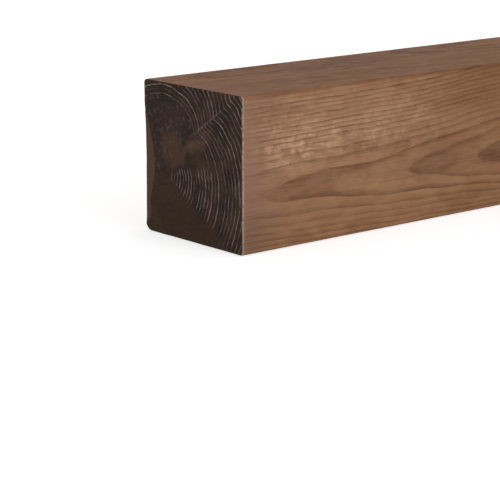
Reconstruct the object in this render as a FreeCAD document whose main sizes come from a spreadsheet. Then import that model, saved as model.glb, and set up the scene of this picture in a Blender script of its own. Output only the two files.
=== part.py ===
"""A square pine fence post as it leaves the planer: one sawn and planed length of wood.

The post lies along X with one side down. Its origin is the middle of the underside, +Z is up, and
the end that shows the saw's breakout is the one at -X. All sizes are in millimetres.
"""
import FreeCAD, Part
import Sketcher
import os

# Driving dimensions. Each becomes a named cell of the spreadsheet.
DIMENSIONS = {
    "post_length": 2400.0,
    "section_width": 90.0,      # across, along Y
    "section_height": 90.0,     # along Z
    "arris_radius": 2.0,        # the planer's light easing on three long edges
    "worn_arris_radius": 5.5,   # the low edge on the +Y side is rounder
    "breakout_length": 68.0,    # how far the splintered edge runs up the end
    "breakout_width": 8.5,      # how far it reaches in across the end
    "breakout_depth": 1.5,      # how far it reaches along the post
    "breakout_middle": 39.0,    # its middle, above the underside
}

NODE = "fence_post"
PARTS_FOLDER = "parts"
EDGE_MATCH = 1e-6               # how near an edge must lie to the corner it is looked up by


def add_sheet(doc):
    """The spreadsheet of driving dimensions, one alias a row."""
    sheet = doc.addObject("Spreadsheet::Sheet", "sizes")
    for row, (alias, value) in enumerate(DIMENSIONS.items(), start=1):
        sheet.set(f"A{row}", alias)
        sheet.set(f"B{row}", str(value))
        sheet.setAlias(f"B{row}", alias)
    doc.recompute()
    return sheet


def origin_plane(body, role):
    """One of the body's own origin planes, such as YZ_Plane."""
    return next(f for f in body.Origin.OriginFeatures if f.Role == role)


def add_section(body, sheet):
    """The square section: a rectangle that stands on the Y axis and is centred on it."""
    sketch = body.newObject("Sketcher::SketchObject", "section")
    sketch.AttachmentSupport = [(origin_plane(body, "YZ_Plane"), "")]
    sketch.MapMode = "FlatFace"
    half = sheet.section_width / 2
    corners = [
        FreeCAD.Vector(-half, 0, 0),
        FreeCAD.Vector(half, 0, 0),
        FreeCAD.Vector(half, sheet.section_height, 0),
        FreeCAD.Vector(-half, sheet.section_height, 0),
    ]
    bottom, right, top, left = range(4)
    start, end = 1, 2
    for side in range(4):
        line = Part.LineSegment(corners[side], corners[(side + 1) % 4])
        sketch.addGeometry(line, False)
    origin = (-1, 1)
    for side in range(4):
        sketch.addConstraint(Sketcher.Constraint("Coincident", side, end, (side + 1) % 4, start))
    for side in (bottom, top):
        sketch.addConstraint(Sketcher.Constraint("Horizontal", side))
    for side in (right, left):
        sketch.addConstraint(Sketcher.Constraint("Vertical", side))
    sketch.addConstraint(Sketcher.Constraint("Symmetric", bottom, start, bottom, end, *origin))
    width = sketch.addConstraint(
        Sketcher.Constraint("DistanceX", bottom, start, bottom, end, float(sheet.section_width))
    )
    height = sketch.addConstraint(
        Sketcher.Constraint("DistanceY", right, start, right, end, float(sheet.section_height))
    )
    sketch.setExpression(f"Constraints[{width}]", "sizes.section_width")
    sketch.setExpression(f"Constraints[{height}]", "sizes.section_height")
    return sketch


def add_length(body, sketch):
    """The section run both ways along X."""
    pad = body.newObject("PartDesign::Pad", "length")
    pad.Profile = sketch
    pad.SideType = "Symmetric"
    pad.setExpression("Length", "sizes.post_length")
    return pad


def long_edge(shape, y, z):
    """The name of the edge along X that lies at y and z."""
    for number, edge in enumerate(shape.Edges, start=1):
        ends = [v.Point for v in edge.Vertexes]
        if all(abs(p.y - y) < EDGE_MATCH and abs(p.z - z) < EDGE_MATCH for p in ends):
            return f"Edge{number}"
    raise ValueError(f"no long edge at y {y}, z {z}")


def add_rounding(body, base, name, edges, radius):
    """A fillet over long edges, its radius bound to the sheet."""
    fillet = body.newObject("PartDesign::Fillet", name)
    fillet.Base = (base, edges)
    fillet.setExpression("Radius", f"sizes.{radius}")
    return fillet


def add_arrises(doc, body, pad, sheet):
    """Three long edges lightly eased, and the low one on the +Y side worn rounder."""
    half, height = sheet.section_width / 2, sheet.section_height
    eased = [long_edge(pad.Shape, y, z) for y, z in ((-half, 0), (-half, height), (half, height))]
    arrises = add_rounding(body, pad, "eased_arrises", eased, "arris_radius")
    doc.recompute()
    worn = [long_edge(arrises.Shape, half, 0)]
    return add_rounding(body, arrises, "worn_arris", worn, "worn_arris_radius")


def add_breakout(body):
    """The shallow sliver that the saw tore from the +Y edge of the end at -X.

    A wide cone along X cuts it. Where the cone meets the end its outline is an arc as long and as
    wide as the breakout, and it leaves the +Y side at the breakout's depth. It starts one depth
    outside the end and finishes one depth past where it leaves the wood.
    """
    width, depth = "sizes.breakout_width", "sizes.breakout_depth"
    arc_radius = f"(sizes.breakout_length ^ 2 / 4 + {width} ^ 2) / (2 * {width})"
    cone = body.newObject("PartDesign::SubtractiveCone", "saw_breakout")
    cone.Placement.Rotation = FreeCAD.Rotation(FreeCAD.Vector(0, 1, 0), 90)
    cone.setExpression("Radius1", f"{arc_radius} + {width}")
    cone.setExpression("Radius2", f"{arc_radius} - 2 * {width}")
    cone.setExpression("Height", f"3 * {depth}")
    cone.setExpression("Placement.Base.x", f"-sizes.post_length / 2 - {depth}")
    cone.setExpression("Placement.Base.y", f"sizes.section_width / 2 - {width} + {arc_radius}")
    cone.setExpression("Placement.Base.z", "sizes.breakout_middle")
    return cone


def check(doc, body):
    """Stops the build on a failed feature or a bad solid."""
    for item in doc.Objects:
        if {"Invalid", "Error"} & set(item.State):
            raise RuntimeError(f"{item.Name} failed: {item.State}")
    shape = body.Shape
    if shape.isNull() or not shape.isValid() or len(shape.Solids) != 1:
        raise RuntimeError(f"{body.Label} is not one valid solid")


def build():
    doc = FreeCAD.newDocument("fence_post")
    sheet = add_sheet(doc)
    body = doc.addObject("PartDesign::Body", NODE)
    body.Label = NODE
    section = add_section(body, sheet)
    pad = add_length(body, section)
    doc.recompute()
    rounded = add_arrises(doc, body, pad, sheet)
    doc.recompute()
    whole = rounded.Shape.Volume
    breakout = add_breakout(body)
    doc.recompute()
    if not breakout.Shape.Volume < whole:
        raise RuntimeError("the breakout cut nothing")
    check(doc, body)
    os.makedirs(PARTS_FOLDER, exist_ok=True)
    body.Shape.exportStep(os.path.join(PARTS_FOLDER, f"{body.Label}.step"))
    print(f"{body.Label}: {body.Shape.Volume / 1e9:.6f} cubic metres, {body.Shape.BoundBox}")


build()
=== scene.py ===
"""A square pine fence post, planed on four sides and brown pressure-treated, on a pale floor.

Everything is worked out in millimetres, from the end that shows the saw's breakout, and turned into
metres when the mesh is made.
"""

import math

import bpy
import numpy as np
from mathutils import Matrix, Vector


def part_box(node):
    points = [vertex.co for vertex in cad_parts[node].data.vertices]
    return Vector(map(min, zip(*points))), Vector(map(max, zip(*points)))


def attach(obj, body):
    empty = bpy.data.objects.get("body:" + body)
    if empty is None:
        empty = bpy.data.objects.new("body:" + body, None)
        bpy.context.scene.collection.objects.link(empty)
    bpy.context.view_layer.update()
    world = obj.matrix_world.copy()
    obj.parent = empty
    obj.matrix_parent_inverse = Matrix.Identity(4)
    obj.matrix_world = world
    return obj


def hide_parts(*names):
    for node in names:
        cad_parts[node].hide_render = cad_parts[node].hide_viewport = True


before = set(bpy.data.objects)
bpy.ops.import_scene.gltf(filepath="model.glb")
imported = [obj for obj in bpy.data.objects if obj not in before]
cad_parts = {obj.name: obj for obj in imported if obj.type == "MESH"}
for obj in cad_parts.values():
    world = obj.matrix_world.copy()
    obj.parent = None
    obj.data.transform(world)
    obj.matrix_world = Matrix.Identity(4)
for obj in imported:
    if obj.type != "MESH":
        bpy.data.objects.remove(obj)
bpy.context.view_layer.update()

MM = 0.001
POST_LOW, POST_HIGH = (np.array(corner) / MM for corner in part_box("fence_post"))
LENGTH, WIDTH, HEIGHT = POST_HIGH - POST_LOW
HALF_WIDTH = WIDTH / 2

# The planer's light easing of the long edges, and the rounder one below on the +Y side.
ARRIS, WORN_ARRIS = 2.0, 5.5
END_ARRIS = 0.8                 # where the saw's fibres have rubbed off round the two ends

# Cells of the mesh.
CELLS_PER_SIDE = 80             # across each face
ARRIS_CELLS = 5                 # of those, on the half arris at each end of a side
EASING_CELLS = 3                # along the post, on the rubbed rim of each end
SHOWN = 320.0                   # from the end on show to here the cells are close together

# The tree: where its pith meets the sawn end, and how far apart its rings are.
PITH_Y, PITH_Z = 29.0, 38.0
FLAME_Z = 34.0                  # the height of the flame figure's middle on the near side
INNER_RINGS, OUTER_RINGS = 2.6, 2.95    # how far apart the rings are, inside and outside
RINGS_WIDEN = 40.0                      # this radius
OVAL, OVAL_TURN = 0.05, math.radians(30)            # the rings' even stretch, and its direction
CREASE, CREASE_AT = 0.18, math.radians(37.5)        # the fold a branch left in them, and its direction
SPREAD_ABOVE, SPREAD_BELOW = math.radians(14), math.radians(24)
TIP_RISE = 0.28                 # how much of a ring the flame figure gains close behind its tip
HEART = 48.0                    # inside this radius a branch has blurred the rings above the pith
BRANCH_AT = math.radians(28)    # the branch's slope, up from the pith towards the near side
# A pale ray of wood leaves the branch and follows the crease out.
RAY_AT, RAY_OFFSET = math.radians(33.3), 4.8
RAY_BAND = 20.0                 # the ray attribute runs from 0 to 1 over this width

# Branches leave the pith in whorls, one for each year's height. None shows near the sawn end.
WHORLS = (575.0, 1120.0, 1735.0, 2240.0)
BRANCHES_PER_WHORL = 4
WHORL_LEAN = 10.0               # branches lean, so their knots lie this much short of the whorl
WHORL_REACH = 32.0              # and up to this far to each side of there
FAR_FROM_KNOTS = 20.0           # a distance, in branch radii, at which no knot shows

# How deep, in millimetres, the saw left its marks in the ends.
SAW_CUT, SAW_WAVES, SAW_RIPPLES = 0.12, 0.10, 0.06
SAW_FADE = 14.0                 # the mesh behind the ends takes up their marks over this length
AT_END = 0.01                   # points nearer to an end than this lie in its sawn face


# ---------------------------------------------------------------- small tools

def linear(hex_colour):
    """An sRGB hex colour as the linear colour that shaders work in."""
    parts = [int(hex_colour[i:i + 2], 16) / 255 for i in (1, 3, 5)]
    return [p / 12.92 if p <= 0.04045 else ((p + 0.055) / 1.055) ** 2.4 for p in parts] + [1.0]


def ramp(low, high, value):
    """0 below low and 1 above high, with a smooth rise between."""
    t = np.clip((value - low) / (high - low), 0, 1)
    return t * t * (3 - 2 * t)


def blob(x, y, centre, size):
    """A soft round patch, 1 in its middle. Its centre and size are given as pairs."""
    return np.exp(-((x - centre[0]) / size[0]) ** 2 - ((y - centre[1]) / size[1]) ** 2)


def drift(x, y, z, seed, along, across):
    """Smooth random waves between about -1 and 1, with their lengths along and across the grain."""
    chance = np.random.default_rng(seed)
    total = 0
    waves = 7
    for _ in range(waves):
        turn = chance.uniform(0, 2 * math.pi)
        stretch = chance.uniform(0.6, 1.6)
        path = x / along * chance.choice([-1, 1])
        path = path + (y * math.cos(turn) + z * math.sin(turn)) / across
        total = total + np.sin(2 * math.pi * path * stretch + chance.uniform(0, 2 * math.pi))
    return total / math.sqrt(waves)


# ---------------------------------------------------------------- the tree's growth

def taper(x):
    """How much further in, counted in rings, a spot at x lies than one at the sawn end."""
    steep_from, steep_to = 8.0, 210.0
    curve, steady, settle = 5.3e-5, 0.005, 120.0
    near = curve * (np.minimum(x, steep_to) - steep_from) ** 2 + TIP_RISE * ramp(4, 46, x)
    beyond = np.maximum(x - steep_to, 0)
    extra = 2 * curve * (steep_to - steep_from) - steady
    return near + steady * beyond + extra * settle * (1 - np.exp(-beyond / settle))


def around_pith(x, y, z):
    """Distance from the pith, the angle above the line to the near side, and the even radius."""
    pith_y = PITH_Y + 5 * np.sin(x / 700)
    pith_z = PITH_Z + 4 * (1 - np.cos(x / 520))
    out, up = pith_y - y, z - pith_z
    reach, angle = np.hypot(out, up), np.arctan2(up, out)
    oval = 1 + OVAL * np.cos(angle + OVAL_TURN)
    turned = np.angle(np.exp(1j * (angle - CREASE_AT)))
    spread = np.where(turned > 0, SPREAD_ABOVE, SPREAD_BELOW)
    crease = CREASE * np.exp(-np.abs(turned) / spread) * (1 - 0.7 * ramp(50, 88, reach))
    crease = crease * (1 - 0.8 * ramp(300, 1500, x))
    return reach, angle, reach / (oval * (1 - crease))


def plain_age(x, y, z):
    """The age that the even radius gives, without the stem's taper."""
    even = around_pith(x, y, z)[2]
    return np.minimum(even, RINGS_WIDEN) / INNER_RINGS + np.maximum(even - RINGS_WIDEN, 0) / OUTER_RINGS


def cathedral(x, z):
    """Rings out from the middle of the flame figure on the near side, at the sawn end."""
    middle = FLAME_Z + 3 * ramp(120, 220, x)
    above, below = np.maximum(z - middle, 0), np.maximum(middle - z, 0)
    bend_above, bend_below, steady, slope = 0.0053, 0.0052, 29.8, 0.37
    upper = bend_above * np.minimum(above, steady) ** 2 + slope * np.maximum(above - steady, 0)
    upper = upper + TIP_RISE * (1 - np.exp(-(above / 6) ** 2))
    return upper + bend_below * below ** 2


def knot_distance(x, y, z):
    """How far each point is from the middle of the nearest branch, in that branch's radii."""
    chance = np.random.default_rng(8)
    reach, angle, _ = around_pith(x, y, z)
    nearest = np.full(np.shape(x), FAR_FROM_KNOTS)
    for whorl in WHORLS:
        first = chance.uniform(0, 2 * math.pi)
        for k in range(BRANCHES_PER_WHORL):
            turn = first + (k + chance.uniform(-0.2, 0.2)) * 2 * math.pi / BRANCHES_PER_WHORL
            place = whorl + chance.uniform(-9, 9)
            radius = chance.uniform(3.5, 7.5) * np.clip(reach / 45, 0.3, 1.3)
            lean = chance.uniform(0.15, 0.35)
            off = np.angle(np.exp(1j * (angle - turn)))
            # On the other side of the pith there is none of this branch.
            beside = np.where(np.abs(off) < 1, reach * np.sin(off), WIDTH)
            along = x - place + lean * reach
            nearest = np.minimum(nearest, np.hypot(along / 1.2, beside) / radius)
    return nearest


def ring_age(x, y, z):
    """How many growth rings out from the pith each point lies."""
    age = plain_age(x, y, z)
    face_rings = np.round(plain_age(0, -HALF_WIDTH, FLAME_Z))
    near_side = 1 - ramp(-HALF_WIDTH + 2, -HALF_WIDTH + 18, y)
    figured = near_side * ramp(0, 1.5, x) * (1 - ramp(420, 1300, x))
    age = age + (face_rings + cathedral(x, z) - age) * figured
    age = age + 0.10 * drift(x, y, z, 3, 90, 30) * ramp(0, 30, x)
    age = age + 0.9 * drift(x, y, z, 4, 900, 160) * ramp(250, 700, x)
    # A dip in the stem leaves a closed swirl on the top face.
    swirl = 1.5 * blob(x, y, (118, 9), (24, 9)) + 0.7 * blob(x, y, (188, -6), (26, 8))
    age = age + swirl * ramp(HEIGHT - 18, HEIGHT - 3, z)
    # Round a knot the rings swell outwards.
    age = age - 3.2 * np.exp(-(knot_distance(x, y, z) / 2.1) ** 2)
    return age - taper(x)


def ring_slope(x, y, z):
    """How many rings go by in a millimetre, across the grain."""
    half = 0.5
    over = ring_age(x, y + half, z) - ring_age(x, y - half, z)
    up = ring_age(x, y, z + half) - ring_age(x, y, z - half)
    return np.hypot(over, up)


# ---------------------------------------------------------------- the post's mesh

def section_side(start, start_radius, end, end_radius, inward):
    """Points along one side of the section, from mid-arris to mid-arris."""
    start, end = np.array(start, float), np.array(end, float)
    inward = np.array(inward, float)
    run = (end - start) / np.linalg.norm(end - start)
    quarter = np.linspace(math.pi / 4, 0, ARRIS_CELLS + 1)
    flat = np.linspace(0, 1, CELLS_PER_SIDE - 2 * ARRIS_CELLS + 1)[1:-1]
    first = [start + run * start_radius * (1 - math.sin(a)) + inward * start_radius * (1 - math.cos(a))
             for a in quarter]
    last = [end - run * end_radius * (1 - math.sin(a)) + inward * end_radius * (1 - math.cos(a))
            for a in quarter[::-1]]
    between = [first[-1] + (last[0] - first[-1]) * f for f in flat]
    return np.array(first + between + last)


def section_outline():
    """The four sides of the section as (y, z) points: under, back, top and near side."""
    h, t = HALF_WIDTH, HEIGHT
    under = section_side((-h, 0), ARRIS, (h, 0), WORN_ARRIS, (0, 1))
    back = section_side((h, 0), WORN_ARRIS, (h, t), ARRIS, (-1, 0))
    top = section_side((h, t), ARRIS, (-h, t), ARRIS, (0, -1))
    near = section_side((-h, t), ARRIS, (-h, 0), ARRIS, (1, 0))
    return under, back, top, near


def section_grid(sides):
    """A square grid of (y, z) points over the section, whose rim is the outline."""
    under, back, top, near = sides
    top, near = top[::-1], near[::-1]
    t = np.linspace(0, 1, CELLS_PER_SIDE + 1)
    u, v = t[:, None, None], t[None, :, None]
    grid = (1 - v) * under[:, None] + v * top[:, None] + (1 - u) * near[None] + u * back[None]
    corners = (1 - u) * (1 - v) * under[0] + u * (1 - v) * under[-1]
    corners = corners + (1 - u) * v * top[0] + u * v * top[-1]
    return grid - corners


def stations():
    """Where along the post the outline is repeated: close together at the end on show and at knots."""
    easing = END_ARRIS * (1 - np.sin(np.linspace(math.pi / 2, 0, EASING_CELLS + 1)))
    shown = np.append([1.5], np.linspace(2.8, SHOWN, 92))
    hidden = np.linspace(SHOWN, LENGTH - 1.6, 72)[1:]
    for whorl in WHORLS:
        knots_at = whorl - WHORL_LEAN
        hidden = hidden[np.abs(hidden - knots_at) > WHORL_REACH + 10]
        hidden = np.append(hidden, knots_at + np.linspace(-WHORL_REACH, WHORL_REACH, 20))
    return np.concatenate([easing, shown, np.sort(hidden), LENGTH - easing[::-1]])


def breakout_depth(y, z):
    """How far the saw's breakout has torn the +Y edge of the sawn end back along the post."""
    reach = 5.4 + 4.6 * np.exp(-((z - 41) / 13) ** 2) + 1.2 * np.exp(-((z - 62) / 8) ** 2)
    reach = reach + 0.4 * np.sin(z / 2.3) * np.sin(z / 5.1 + 1)
    reach = reach * ramp(2, 9, z) * (1 - ramp(52, 84, z))
    inside = y - (HALF_WIDTH - reach)
    return 0.5 * ramp(0, 1.5, inside) + 0.5 * ramp(1, 9, inside)


def shape_post(x, y, z):
    """The points of the plain swept section, moved to show its wear, saw marks and breakout."""
    from_end = np.minimum(x, LENGTH - x)
    rubbed = END_ARRIS * (1 + 0.35 * drift(0 * x, y, z, 11, 1, 23))
    t = np.clip(1 - from_end / END_ARRIS, 0, 1)
    inset = rubbed * (1 - np.sqrt(1 - t * t))
    across, up = y, z - HEIGHT / 2
    shrink = 1 - inset / HALF_WIDTH
    y, z = across * shrink, HEIGHT / 2 + up * shrink
    sawn = SAW_WAVES * drift(0 * x, 0.05 * y, z, 12, 1, 4.5) + SAW_RIPPLES * drift(0 * x, y, z, 13, 1, 3.1)
    sawn = sawn * (from_end < AT_END)
    fade = np.clip(1 - x / SAW_FADE, 0, 1)
    x = x + (breakout_depth(y, z) + SAW_CUT + sawn) * fade
    far_fade = np.clip(1 - (LENGTH - x) / SAW_FADE, 0, 1)
    x = x - (SAW_CUT + sawn) * far_fade
    return x, y, z


def post_points_and_faces():
    """The plain post: its points (x, y, z), its faces, and whether each face is sawn end grain."""
    sides = section_outline()
    loop = np.concatenate([side[:-1] for side in sides])
    grid = section_grid(sides)
    places, count = stations(), len(loop)
    points = [np.column_stack([np.full(count, x), loop]) for x in places]
    faces = []
    for k in range(len(places) - 1):
        for i in range(count):
            j = (i + 1) % count
            faces.append((k * count + i, k * count + j, (k + 1) * count + j, (k + 1) * count + i))
    is_end = [False] * len(faces)
    total = len(places) * count
    n = CELLS_PER_SIDE
    rim = {}
    for i in range(n):
        rim[(i, 0)] = i
        rim[(n, i)] = n + i
        rim[(n - i, n)] = 2 * n + i
        rim[(0, n - i)] = 3 * n + i
    for x, first, flipped in ((places[0], 0, True), (places[-1], (len(places) - 1) * count, False)):
        index = np.zeros((n + 1, n + 1), int)
        for i in range(n + 1):
            for j in range(n + 1):
                if (i, j) in rim:
                    index[i, j] = first + rim[(i, j)]
                else:
                    index[i, j] = total
                    points.append(np.array([[x, *grid[i, j]]]))
                    total += 1
        for i in range(n):
            for j in range(n):
                face = (index[i, j], index[i + 1, j], index[i + 1, j + 1], index[i, j + 1])
                faces.append(face[::-1] if flipped else face)
                is_end.append(True)
    return np.concatenate(points), faces, np.array(is_end)


def side_marks(x, y, z):
    """What the long faces show beside their rings, each as a share from 0 to 1.

    Only "knot" is a distance, in branch radii. Patches are placed and sized in millimetres.
    """
    from_end = np.minimum(x, LENGTH - x)
    near = 1 - ramp(-HALF_WIDTH + 0.5, -HALF_WIDTH + 2.5, y)
    top = ramp(HEIGHT - 2.5, HEIGHT - 0.5, z)
    # Painted highlight: lighter patches on the near side where the lamp's light would catch the lifted
    # grain, and a weaker share far along it.
    painted_highlight = 0.7 * blob(x, z, (66, 60), (44, 12)) + 0.9 * blob(x, z, (36, 56), (20, 10))
    painted_highlight = painted_highlight + 0.4 * blob(x, z, (125, 66), (30, 16)) + 0.4 * blob(x, z, (40, 76), (30, 10))
    painted_highlight = painted_highlight + 0.35 * ramp(500, 700, x)
    pink = np.exp(-x / 8) + 0.6 * blob(x, z, (12, 40), (18, 50))
    grey = blob(x, z, (6, 8), (14, 20)) * near
    golden = ramp(100, 190, x) * (0.6 + 0.4 * ramp(40, 85, z))
    golden = golden + 0.6 * blob(x, z, (60, 15), (90, 12))
    # The wood inside the tips of the flame figure took more of the treatment.
    dusk_and_top_shade = near * (1.4 * blob(x, z, (153, 35), (22, 6)) + 1.2 * blob(x, z, (208, 34), (20, 7)))
    dusk_and_top_shade = dusk_and_top_shade + near * 0.35 * blob(x, z, (90, 36), (60, 6))
    # Painted shade: the whole top is darkened, more towards its far side, against the sheen it catches; the
    # blob on it is the top's own swirl figure.
    dusk_and_top_shade = dusk_and_top_shade + top * (0.40 + 0.12 * ramp(-10, 35, y) + 0.9 * blob(x, y, (122, 12), (34, 15)))
    lost_tip = near * blob(x, z, (18, 33), (16, 5.5))
    return {
        "painted_highlight": np.clip(painted_highlight * near, 0, 1),
        "pink": np.clip(pink, 0, 1),
        "grey": np.clip(grey, 0, 1),
        "golden": np.clip(golden * near, 0, 1),
        "dusk_and_top_shade": np.clip(dusk_and_top_shade, 0, 1),
        "top": top,
        "rim": near * ramp(0, 0.2, from_end),
        "rubbed": np.exp(-(from_end / 0.9) ** 2) * (0.3 + 0.7 * near),
        "figure": (0.35 + 0.65 * ramp(1, 16, x)) * (1 - 0.8 * lost_tip),
        "knot": np.minimum(knot_distance(x, y, z), 3),
    }


def end_marks(x, y, z):
    """What the sawn ends show beside their rings, each as a share from 0 to 1.

    Angles are round the pith, in degrees up from the line to the near side.
    """
    reach, angle, even = around_pith(0 * x, y, z)
    degrees = np.degrees(angle)
    clear = ramp(-31, -27, degrees) * (1 - ramp(5, 13, degrees)) * ramp(7, 13, reach)
    outer = ramp(HEART - 1.5, HEART, even) * ramp(5, 12, degrees) * (1 - ramp(115, 135, degrees))
    faint = 0.4 * ramp(-56, -48, degrees) * (1 - ramp(-31, -27, degrees)) * ramp(58, 72, reach)
    # A branch leaves the pith upwards and bends out to the near side: smooth wood, and browner.
    y_bent = y + 1.8 * drift(0 * x, y, z, 21, 1, 17)
    z_bent = z + 1.8 * drift(0 * x, y, z, 22, 1, 15)
    along = (PITH_Y - y_bent) * math.cos(BRANCH_AT) + (z_bent - PITH_Z) * math.sin(BRANCH_AT)
    beside = (z_bent - PITH_Z) * math.cos(BRANCH_AT) - (PITH_Y - y_bent) * math.sin(BRANCH_AT)
    branch = 0.9 * ramp(4, 12, along) * (1 - ramp(46, 56, along)) * (1 - ramp(3.5, 6, np.abs(beside - 2)))
    branch = np.maximum(branch, 0.8 * ramp(0.15, 0.6, blob(y_bent, z_bent, (20, 52), (9, 10))))
    highlight = blob(along, beside, (34, 3), (6, 2))
    heart = ramp(36, 50, degrees) * (1 - ramp(44, 50, even))
    low = (1 - ramp(-33, -27, degrees)) * (1 - ramp(150, 170, np.abs(degrees)))
    torn = ramp(0.1, 0.5, breakout_depth(y, z)) * (x < LENGTH / 2)
    ray_along = reach * np.cos(angle - RAY_AT)
    ray_beside = reach * np.sin(angle - RAY_AT) - RAY_OFFSET
    return {
        "lines": np.clip(np.maximum(clear, outer) + faint, 0, 1),
        "branch": np.clip(branch, 0, 1),
        "highlight": highlight,
        "heart": np.clip(heart, 0, 1),
        "low": np.clip(low, 0, 1),
        "torn": np.clip(torn, 0, 1),
        "ray": np.clip(ray_beside / RAY_BAND + 0.5, 0, 1),
        "ray_reach": ramp(35, 40, ray_along) * (1 - ramp(62, 78, ray_along)),
    }


def lay_out_map(mesh, points, faces, is_end):
    """The post unrolled for the export's textures: its four sides as one band, its ends as squares."""
    band, square, gap = 0.62, 0.34, 0.01
    sides = section_outline()
    loop = np.concatenate([side[:-1] for side in sides])
    steps = np.linalg.norm(np.roll(loop, -1, axis=0) - loop, axis=1)
    round_it = np.concatenate([[0], np.cumsum(steps)])
    round_it = gap + band * round_it / round_it[-1]
    count = len(loop)
    uv = mesh.uv_layers.new(name="OFBake")
    places = np.zeros((len(mesh.loops), 2))
    spot = 0
    for face, end in zip(faces, is_end):
        for k, vertex in enumerate(face):
            x, y, z = points[vertex]
            if end:
                left = gap if x < LENGTH / 2 else 2 * gap + square
                places[spot] = (left + square * (y + HALF_WIDTH) / WIDTH,
                                2 * gap + band + square * z / HEIGHT)
            else:
                turn = vertex % count
                wraps = turn == 0 and k in (1, 2)
                places[spot] = (gap + (1 - 2 * gap) * x / LENGTH,
                                round_it[count] if wraps else round_it[turn])
            spot += 1
    uv.data.foreach_set("uv", places.ravel())


def make_post(planed, sawn):
    """The post as one closed mesh, with its rings and marks as attributes that the finishes read."""
    points, faces, is_end = post_points_and_faces()
    x, y, z = points.T
    mesh = bpy.data.meshes.new("planed_post")
    moved = np.column_stack(shape_post(x, y, z))
    moved[:, 0] += POST_LOW[0]
    mesh.from_pydata((moved * MM).tolist(), [], [tuple(int(v) for v in face) for face in faces])
    mesh.materials.append(planed)
    mesh.materials.append(sawn)
    # The fibres rubbed off round the ends are end grain too, so the dark finish takes in the eased rim.
    from_end = np.minimum(x, LENGTH - x)
    is_sawn = [from_end[list(face)].max() < END_ARRIS + AT_END for face in faces]
    mesh.polygons.foreach_set("material_index", np.array(is_sawn, int))
    mesh.polygons.foreach_set("use_smooth", np.ones(len(faces), bool))
    marks = {"rings": ring_age(x, y, z), "slope": ring_slope(x, y, z)}
    marks.update(side_marks(x, y, z))
    marks.update(end_marks(x, y, z))
    for name, values in marks.items():
        attribute = mesh.attributes.new(name, "FLOAT", "POINT")
        attribute.data.foreach_set("value", np.asarray(values, np.float32))
    lay_out_map(mesh, points, faces, is_end)
    mesh.update()
    post = bpy.data.objects.new("planed_post", mesh)
    bpy.context.scene.collection.objects.link(post)
    return post


# ---------------------------------------------------------------- finishes

def add_node(tree, kind, inputs=None, **settings):
    """A node of that kind, with its settings, and its inputs set or linked to outputs.

    Inputs go by number where their names repeat. A Map Range takes 0 as its value, and turns the
    range from 1 to 2 into the range from 3 to 4.
    """
    node = tree.nodes.new(kind)
    for name, value in settings.items():
        setattr(node, name, value)
    for name, value in (inputs or {}).items():
        if isinstance(value, bpy.types.NodeSocket):
            tree.links.new(value, node.inputs[name])
        else:
            node.inputs[name].default_value = value
    return node


def new_material(name):
    """An empty material and its node tree."""
    material = bpy.data.materials.new(name)
    material.use_nodes = True
    material.node_tree.nodes.clear()
    return material, material.node_tree


def set_stops(node, stops):
    """Gives a colour ramp its stops: (place, hex colour)."""
    elements = node.color_ramp.elements
    while len(elements) < len(stops):
        elements.new(0.5)
    for element, (place, colour) in zip(elements, stops):
        element.position = place
        element.color = linear(colour)


def tint(tree, base, share, colour, strength=1.0, blend="MIX"):
    """The base colour with another laid over it where share says."""
    amount = add_node(tree, "ShaderNodeMath", {0: share, 1: strength}, operation="MULTIPLY", use_clamp=True)
    mixed = add_node(tree, "ShaderNodeMix", {0: amount.outputs[0], 6: base, 7: linear(colour)},
                     data_type="RGBA", blend_type=blend)
    return mixed.outputs[2]


def grain_noise(tree, size, detail=2.0, distortion=0.0):
    """Noise in the wood, stretched to the given size in millimetres along X, Y and Z."""
    places = add_node(tree, "ShaderNodeTexCoord").outputs["Object"]
    scaled = add_node(tree, "ShaderNodeMapping", {"Vector": places, "Scale": [1 / (s * MM) for s in size]})
    noise = add_node(tree, "ShaderNodeTexNoise", {
        "Vector": scaled.outputs[0], "Scale": 1.0, "Detail": detail, "Distortion": distortion,
    })
    return noise.outputs["Fac"]


def ring_phase(tree, wobble):
    """How far through its year's growth each point lies, from 0 to 1, and a number for each year."""
    age = add_node(tree, "ShaderNodeAttribute", attribute_name="rings").outputs["Fac"]
    slope = add_node(tree, "ShaderNodeAttribute", attribute_name="slope").outputs["Fac"]
    wander = 1.7                # how far a ring's line strays from its even course, in millimetres
    shifted = add_node(tree, "ShaderNodeMath", {0: wobble, 1: wander, 2: -wander / 2},
                       operation="MULTIPLY_ADD")
    moved = add_node(tree, "ShaderNodeMath", {0: shifted.outputs[0], 1: slope, 2: age},
                     operation="MULTIPLY_ADD").outputs[0]
    phase = add_node(tree, "ShaderNodeMath", {0: moved}, operation="FRACT").outputs[0]
    year = add_node(tree, "ShaderNodeMath", {0: moved}, operation="FLOOR").outputs[0]
    chance = add_node(tree, "ShaderNodeTexWhiteNoise", {"W": year}, noise_dimensions="1D")
    return phase, chance.outputs["Value"]


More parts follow.
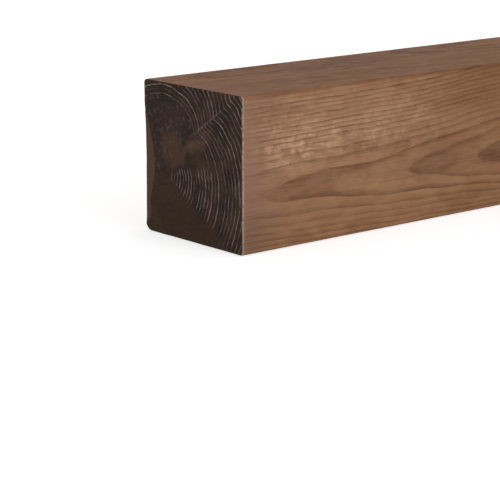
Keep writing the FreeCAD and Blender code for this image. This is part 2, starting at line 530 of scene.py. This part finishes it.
def lay_knots(tree, colour, distance, wobble):
    """The colour with its knots: branches cut across, dark and hard, with fine rings and a bark line."""
    rings, waver = 5.0, 1.5         # rings from a knot's middle to its rim, and how unevenly they run
    knot_rings = add_node(tree, "ShaderNodeMath", {0: distance, 1: rings}, operation="MULTIPLY")
    knot_rings = add_node(tree, "ShaderNodeMath", {0: wobble, 1: waver, 2: knot_rings.outputs[0]},
                          operation="MULTIPLY_ADD")
    knot_rings = add_node(tree, "ShaderNodeMath", {0: knot_rings.outputs[0], 1: 0.5}, operation="PINGPONG")
    knot_wood = add_node(tree, "ShaderNodeMapRange", {0: distance, 1: 0.92, 2: 1.04, 3: 1.0, 4: 0.0})
    bark_line = add_node(tree, "ShaderNodeValToRGB", {0: distance})
    set_stops(bark_line, ((0.86, "#000000"), (0.95, "#FFFFFF"), (1.0, "#FFFFFF")))
    bark_end = add_node(tree, "ShaderNodeMapRange", {0: distance, 1: 1.0, 2: 1.25, 3: 1.0, 4: 0.0})
    bark = add_node(tree, "ShaderNodeMath", {0: bark_line.outputs[0], 1: bark_end.outputs[0]},
                    operation="MULTIPLY").outputs[0]
    halo = add_node(tree, "ShaderNodeMapRange", {0: distance, 1: 1.0, 2: 2.4, 3: 1.0, 4: 0.0})
    colour = tint(tree, colour, halo.outputs[0], "#6E4A30", 0.45)
    colour = tint(tree, colour, knot_wood.outputs[0], "#5A3823", 0.9)
    inner = add_node(tree, "ShaderNodeMath", {0: knot_rings.outputs[0], 1: knot_wood.outputs[0]},
                     operation="MULTIPLY")
    colour = tint(tree, colour, inner.outputs[0], "#3E2416", 1.1)
    colour = tint(tree, colour, bark, "#2E1B11", 0.8)
    return colour


def planed_pine():
    """Planed pine with brown pressure treatment, dry and unwaxed.

    The planer cuts along the fibres, so each ring shows as a pale soft earlywood band that darkens
    into a dense latewood edge and stops there. The treatment gives the whole a warm brown that is
    pinker near the sawn end. The surface is nearly matt.
    """
    material, tree = new_material("planed_treated_pine")
    share = {name: add_node(tree, "ShaderNodeAttribute", attribute_name=name).outputs["Fac"]
             for name in ("painted_highlight", "pink", "grey", "golden", "dusk_and_top_shade", "top", "rubbed", "figure", "knot")}
    wobble = grain_noise(tree, (18, 5, 5), 5.0)
    phase, year_chance = ring_phase(tree, wobble)
    latewood = add_node(tree, "ShaderNodeValToRGB", {0: phase})
    set_stops(latewood, ((0.0, "#606060"), (0.07, "#000000"), (0.25, "#101010"), (0.55, "#767676"),
                         (0.82, "#E4E4E4"), (0.95, "#FFFFFF")))
    strength = add_node(tree, "ShaderNodeMapRange", {0: year_chance, 3: 0.4, 4: 1.0})
    dark = add_node(tree, "ShaderNodeMath", {0: latewood.outputs[0], 1: strength.outputs[0]},
                    operation="MULTIPLY").outputs[0]
    # The dark lines break up along the grain where the treatment took unevenly.
    uneven = add_node(tree, "ShaderNodeMapRange", {0: grain_noise(tree, (13, 2.2, 2.2), 3.0), 1: 0.35,
                                                   2: 0.60, 3: 0.5, 4: 1.0})
    dark = add_node(tree, "ShaderNodeMath", {0: dark, 1: uneven.outputs[0]}, operation="MULTIPLY").outputs[0]
    dark = add_node(tree, "ShaderNodeMath", {0: dark, 1: share["figure"]}, operation="MULTIPLY").outputs[0]
    # Broad differences in how the wood took the treatment, 150 mm along the grain and 14 mm across.
    broad = add_node(tree, "ShaderNodeValToRGB", {0: grain_noise(tree, (150, 14, 14), 2.0)})
    set_stops(broad, ((0.30, "#805A3B"), (0.50, "#946B4B"), (0.70, "#A67D5A")))
    colour = broad.outputs[0]
    # Softer patches, 15 mm by 8 mm, such as show in the wide bands.
    patches = add_node(tree, "ShaderNodeMapRange", {0: grain_noise(tree, (15, 8, 8), 2.0, 0.6), 1: 0.42,
                                                    2: 0.66})
    colour = tint(tree, colour, patches.outputs[0], "#B48C67", 0.50)
    # Redder patches, 34 mm by 11 mm.
    ruddy = add_node(tree, "ShaderNodeMapRange", {0: grain_noise(tree, (34, 11, 11), 3.0, 0.8), 1: 0.48,
                                                  2: 0.64})
    colour = tint(tree, colour, ruddy.outputs[0], "#915F47", 0.38)
    colour = tint(tree, colour, share["golden"], "#7C5532", 0.62)
    # The duskier wood inside the figure, and the painted shade on the top, are broken up by swirls, 26 mm by
    # 7 mm.
    swirl = add_node(tree, "ShaderNodeMapRange", {0: grain_noise(tree, (26, 7, 7), 2.0, 1.6), 1: 0.40,
                                                  2: 0.58, 3: 0.50, 4: 1.0})
    dusk_and_top_shade = add_node(tree, "ShaderNodeMath", {0: share["dusk_and_top_shade"], 1: swirl.outputs[0]},
                    operation="MULTIPLY").outputs[0]
    colour = tint(tree, colour, dusk_and_top_shade, "#5C3C2C", 0.80)
    colour = tint(tree, colour, share["pink"], "#906A5C", 0.8)
    colour = tint(tree, colour, share["grey"], "#71563F", 0.8)
    # Single fibres are too fine to show, so they are drawn 0.8 mm across and 30 mm long.
    fibres = grain_noise(tree, (30, 0.8, 0.8), 3.0)
    fibre_share = add_node(tree, "ShaderNodeMapRange", {0: fibres, 1: 0.35, 2: 0.75})
    colour = tint(tree, colour, fibre_share.outputs[0], "#B58E70", 0.30)
    # Painted highlight: in short patches the pale bands are lightened where lifted grain would catch the
    # light.
    fleck = grain_noise(tree, (6.0, 7, 7), 3.0, 0.3)
    fleck_share = add_node(tree, "ShaderNodeMapRange", {0: fleck, 1: 0.36, 2: 0.66})
    broken = grain_noise(tree, (12.0, 1.3, 1.3), 3.0)
    broken_share = add_node(tree, "ShaderNodeMapRange", {0: broken, 1: 0.36, 2: 0.60})
    glint_and_lifted_grain = add_node(tree, "ShaderNodeMath", {0: fleck_share.outputs[0], 1: share["painted_highlight"]},
                      operation="MULTIPLY").outputs[0]
    glint_and_lifted_grain = add_node(tree, "ShaderNodeMath", {0: glint_and_lifted_grain, 1: broken_share.outputs[0]},
                      operation="MULTIPLY").outputs[0]
    # Painted highlight: the near side is lightened in those patches.
    colour = tint(tree, colour, share["painted_highlight"], "#A98468", 0.35)
    colour = tint(tree, colour, glint_and_lifted_grain, "#D8AE8D", 0.95)
    colour = tint(tree, colour, dark, "#52311D", 0.80)
    # Painted shade: the top is multiplied by a warm tint that takes out the grey sheen it catches at this
    # low angle.
    colour = tint(tree, colour, share["top"], "#F8EADB", 1.0, "MULTIPLY")
    colour = lay_knots(tree, colour, share["knot"], wobble)
    # Fibres rubbed pale at the very ends of the sides, in patches.
    worn = add_node(tree, "ShaderNodeMapRange", {0: grain_noise(tree, (5, 2.5, 2.5), 3.0), 1: 0.40, 2: 0.62,
                                                 3: 0.25, 4: 1.0})
    worn = add_node(tree, "ShaderNodeMath", {0: share["rubbed"], 1: worn.outputs[0]},
                    operation="MULTIPLY").outputs[0]
    colour = tint(tree, colour, worn, "#C2A594", 0.85)
    # Bump: latewood stands a little proud, over fibres and the planer's knife marks.
    knives = grain_noise(tree, (3.0, 60, 60), 1.0)
    relief = add_node(tree, "ShaderNodeMath", {0: dark, 1: 0.5, 2: fibres}, operation="MULTIPLY_ADD")
    relief = add_node(tree, "ShaderNodeMath", {0: knives, 1: 0.4, 2: relief.outputs[0]},
                      operation="MULTIPLY_ADD")
    relief = add_node(tree, "ShaderNodeMath", {0: glint_and_lifted_grain, 1: 0.5, 2: relief.outputs[0]},
                      operation="MULTIPLY_ADD")
    bump = add_node(tree, "ShaderNodeBump", {"Strength": 0.5, "Distance": 0.15 * MM,
                                             "Height": relief.outputs[0]})
    rough = add_node(tree, "ShaderNodeMapRange", {0: fibres, 1: 0.3, 2: 0.7, 3: 0.62, 4: 0.74})
    shader = add_node(tree, "ShaderNodeBsdfPrincipled", {
        "Base Color": colour, "Roughness": rough.outputs[0], "Metallic": 0.0, "IOR": 1.5,
        "Specular IOR Level": 0.12, "Normal": bump.outputs[0],
    })
    add_node(tree, "ShaderNodeOutputMaterial", {"Surface": shader.outputs[0]})
    return material


def sawn_end_grain():
    """The end grain of the same pine, straight off the saw and treated.

    Cut across, the soft earlywood drinks the treatment and goes nearly black, and only the dense
    latewood of each ring stays pale, as thin lines. The surface is matt and a little woolly.
    """
    material, tree = new_material("sawn_end_grain")
    share = {name: add_node(tree, "ShaderNodeAttribute", attribute_name=name).outputs["Fac"]
             for name in ("lines", "branch", "highlight", "heart", "low", "torn", "ray", "ray_reach", "rim")}
    wobble = grain_noise(tree, (7, 7, 7), 3.0)
    phase, year_chance = ring_phase(tree, wobble)
    line = add_node(tree, "ShaderNodeValToRGB", {0: phase})
    set_stops(line, ((0.0, "#000000"), (0.62, "#000000"), (0.76, "#C0C0C0"), (0.84, "#FFFFFF"),
                     (0.91, "#303030"), (0.96, "#000000")))
    # A line fades in and out round its ring, and some years are fainter than others.
    patchy = add_node(tree, "ShaderNodeMapRange", {0: grain_noise(tree, (6, 6, 6), 3.0), 1: 0.36, 2: 0.60,
                                                   3: 0.15, 4: 1.0})
    strength = add_node(tree, "ShaderNodeMapRange", {0: year_chance, 3: 0.2, 4: 1.0})
    pale = add_node(tree, "ShaderNodeMath", {0: line.outputs[0], 1: strength.outputs[0]},
                    operation="MULTIPLY").outputs[0]
    pale = add_node(tree, "ShaderNodeMath", {0: pale, 1: patchy.outputs[0]}, operation="MULTIPLY").outputs[0]
    shown = add_node(tree, "ShaderNodeMapRange", {0: share["lines"], 3: 0.03, 4: 1.0})
    pale = add_node(tree, "ShaderNodeMath", {0: pale, 1: shown.outputs[0]}, operation="MULTIPLY").outputs[0]
    # The treatment soaked in unevenly, in blotches 14 mm across.
    blotch = add_node(tree, "ShaderNodeValToRGB", {0: grain_noise(tree, (14, 14, 14), 4.0)})
    set_stops(blotch, ((0.30, "#2B1F18"), (0.50, "#3C2D24"), (0.70, "#523E32")))
    colour = blotch.outputs[0]
    # Redder patches, 11 mm across.
    ruddy = add_node(tree, "ShaderNodeMapRange", {0: grain_noise(tree, (11, 11, 11), 3.0), 1: 0.50, 2: 0.62})
    colour = tint(tree, colour, ruddy.outputs[0], "#4E342C", 0.45)
    colour = tint(tree, colour, share["low"], "#473629", 0.6)
    colour = tint(tree, colour, share["heart"], "#3A2E2B", 0.6)
    colour = tint(tree, colour, share["branch"], "#624839", 0.8)
    colour = tint(tree, colour, share["highlight"], "#7A5F54", 0.6)
    # Pale specks, 3 mm across, in the heart that the branch blurred.
    mottle = add_node(tree, "ShaderNodeMapRange", {0: grain_noise(tree, (3, 3, 3), 3.0), 1: 0.52, 2: 0.70})
    spots = add_node(tree, "ShaderNodeMath", {0: mottle.outputs[0], 1: share["heart"]},
                     operation="MULTIPLY").outputs[0]
    colour = tint(tree, colour, spots, "#6E5C52", 0.6)
    # Saw marks run across the end, 1 mm apart, and show most where no rings do.
    saw = grain_noise(tree, (20, 14, 0.9), 2.0)
    saw_share = add_node(tree, "ShaderNodeMapRange", {0: saw, 1: 0.5, 2: 0.8})
    colour = tint(tree, colour, saw_share.outputs[0], "#5A4A40", 0.28)
    colour = tint(tree, colour, pale, "#D2C3B6", 0.95)
    # The ray is a narrow pale line down the middle of its band.
    off = add_node(tree, "ShaderNodeMath", {0: share["ray"], 1: 0.5}, operation="SUBTRACT")
    off = add_node(tree, "ShaderNodeMath", {0: off.outputs[0]}, operation="ABSOLUTE")
    ray = add_node(tree, "ShaderNodeMapRange", {0: off.outputs[0], 1: 0.010, 2: 0.045, 3: 1.0, 4: 0.0})
    ray = add_node(tree, "ShaderNodeMath", {0: ray.outputs[0], 1: share["ray_reach"]},
                   operation="MULTIPLY").outputs[0]
    ray = add_node(tree, "ShaderNodeMath", {0: ray, 1: patchy.outputs[0]}, operation="MULTIPLY").outputs[0]
    colour = tint(tree, colour, ray, "#7A6B60", 0.65)
    # The breakout shows long fibres again, so it is nearer the colour of the planed sides.
    colour = tint(tree, colour, share["torn"], "#6A4D41", 0.95)
    # The rubbed rim on the near side has lost its treatment and shows as a thin pale line.
    worn = add_node(tree, "ShaderNodeMapRange", {0: grain_noise(tree, (5, 2.5, 2.5), 3.0), 1: 0.36, 2: 0.56,
                                                 3: 0.5, 4: 1.0})
    worn = add_node(tree, "ShaderNodeMath", {0: share["rim"], 1: worn.outputs[0]},
                    operation="MULTIPLY").outputs[0]
    colour = tint(tree, colour, worn, "#BCA292", 0.95)
    # Bump: the pale lines stand proud of the saw marks, under a wool of torn fibres 0.8 mm across.
    relief = add_node(tree, "ShaderNodeMath", {0: pale, 1: 0.8, 2: saw}, operation="MULTIPLY_ADD")
    wool = grain_noise(tree, (0.8, 0.8, 0.8), 2.0)
    relief = add_node(tree, "ShaderNodeMath", {0: wool, 1: 0.7, 2: relief.outputs[0]},
                      operation="MULTIPLY_ADD")
    bump = add_node(tree, "ShaderNodeBump", {"Strength": 0.6, "Distance": 0.25 * MM,
                                             "Height": relief.outputs[0]})
    rough = add_node(tree, "ShaderNodeMapRange", {0: pale, 3: 0.86, 4: 0.70})
    shader = add_node(tree, "ShaderNodeBsdfPrincipled", {
        "Base Color": colour, "Roughness": rough.outputs[0], "Metallic": 0.0, "IOR": 1.5,
        "Specular IOR Level": 0.15, "Normal": bump.outputs[0],
    })
    add_node(tree, "ShaderNodeOutputMaterial", {"Surface": shader.outputs[0]})
    return material


# ---------------------------------------------------------------- floor, light and camera

def seen_directly(tree):
    """1 where the camera sees it, straight on, in a reflection or through glass."""
    path = add_node(tree, "ShaderNodeLightPath")
    seen = add_node(tree, "ShaderNodeMath", {
        0: path.outputs["Is Camera Ray"], 1: path.outputs["Is Glossy Ray"],
    }, operation="ADD", use_clamp=True)
    seen = add_node(tree, "ShaderNodeMath", {
        0: seen.outputs[0], 1: path.outputs["Is Transmission Ray"],
    }, operation="ADD", use_clamp=True)
    return seen.outputs[0]


def make_floor():
    """A plain white studio floor that keeps the post's shadow."""
    material, tree = new_material("studio_floor")
    lift_to_white = 0.6
    glow = add_node(tree, "ShaderNodeMath", {0: seen_directly(tree), 1: lift_to_white},
                    operation="MULTIPLY")
    matt = add_node(tree, "ShaderNodeBsdfDiffuse", {"Color": linear("#F2F2F2")})
    lift = add_node(tree, "ShaderNodeEmission", {"Strength": glow.outputs[0]})
    both = add_node(tree, "ShaderNodeAddShader", {0: matt.outputs[0], 1: lift.outputs[0]})
    add_node(tree, "ShaderNodeOutputMaterial", {"Surface": both.outputs[0]})
    mesh = bpy.data.meshes.new("studio_floor")
    reach, below = 30.0, -0.0002        # metres; just clear of the underside
    signs = ((-1, -1), (1, -1), (1, 1), (-1, 1))
    corners = [(reach * along, reach * across, below) for along, across in signs]
    mesh.from_pydata(corners, [], [(0, 1, 2, 3)])
    mesh.materials.append(material)
    floor = bpy.data.objects.new("studio_floor", mesh)
    bpy.context.scene.collection.objects.link(floor)


def light_studio():
    """A white room, and two large soft lamps in front of the post and above it."""
    world = bpy.data.worlds.new("white_room")
    bpy.context.scene.world = world
    world.use_nodes = True
    tree = world.node_tree
    tree.nodes.clear()
    lights, shows = 0.47, 1.0       # how bright the room is as a light, and as a background
    level = add_node(tree, "ShaderNodeMapRange", {0: seen_directly(tree), 3: lights, 4: shows})
    background = add_node(tree, "ShaderNodeBackground", {"Color": linear("#FFFFFF"),
                                                         "Strength": level.outputs[0]})
    add_node(tree, "ShaderNodeOutputWorld", {"Surface": background.outputs[0]})
    for name, place, size, watts in (
        ("side_lamp", (-0.6, -4.2, 0.9), 2.6, 75.0),
        ("top_lamp", (-0.6, 0.6, 4.0), 3.0, 2.0),
    ):
        lamp = bpy.data.lights.new(name, "AREA")
        lamp.shape, lamp.size, lamp.energy = "DISK", size, watts
        holder = bpy.data.objects.new(name, lamp)
        holder.location = place
        aim = Vector((-0.7, 0, 0.045)) - holder.location
        holder.rotation_euler = aim.to_track_quat("-Z", "Y").to_euler()
        bpy.context.scene.collection.objects.link(holder)


def aim_camera():
    """A long lens from the left, a little above the post."""
    azimuth, elevation, roll = (math.radians(a) for a in (-39.97, 13.51, -0.02))
    back = Vector((math.sin(azimuth) * math.cos(elevation), -math.cos(azimuth) * math.cos(elevation),
                   math.sin(elevation)))
    level_right = Vector((math.cos(azimuth), math.sin(azimuth), 0))
    level_up = back.cross(level_right)
    right = math.cos(roll) * level_right + math.sin(roll) * level_up
    up = math.cos(roll) * level_up - math.sin(roll) * level_right
    data = bpy.data.cameras.new("camera")
    data.lens, data.sensor_width = 138.7, 36.0
    camera = bpy.data.objects.new("camera", data)
    turned = Matrix((right, up, back)).transposed().to_4x4()
    camera.matrix_world = Matrix.Translation((-1.8687, -0.8494, 0.2551)) @ turned
    bpy.context.scene.collection.objects.link(camera)
    bpy.context.scene.camera = camera


post = make_post(planed_pine(), sawn_end_grain())
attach(post, "root")
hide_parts("fence_post")
make_floor()
light_studio()
aim_camera()
bpy.context.scene.view_settings.view_transform = "Standard"
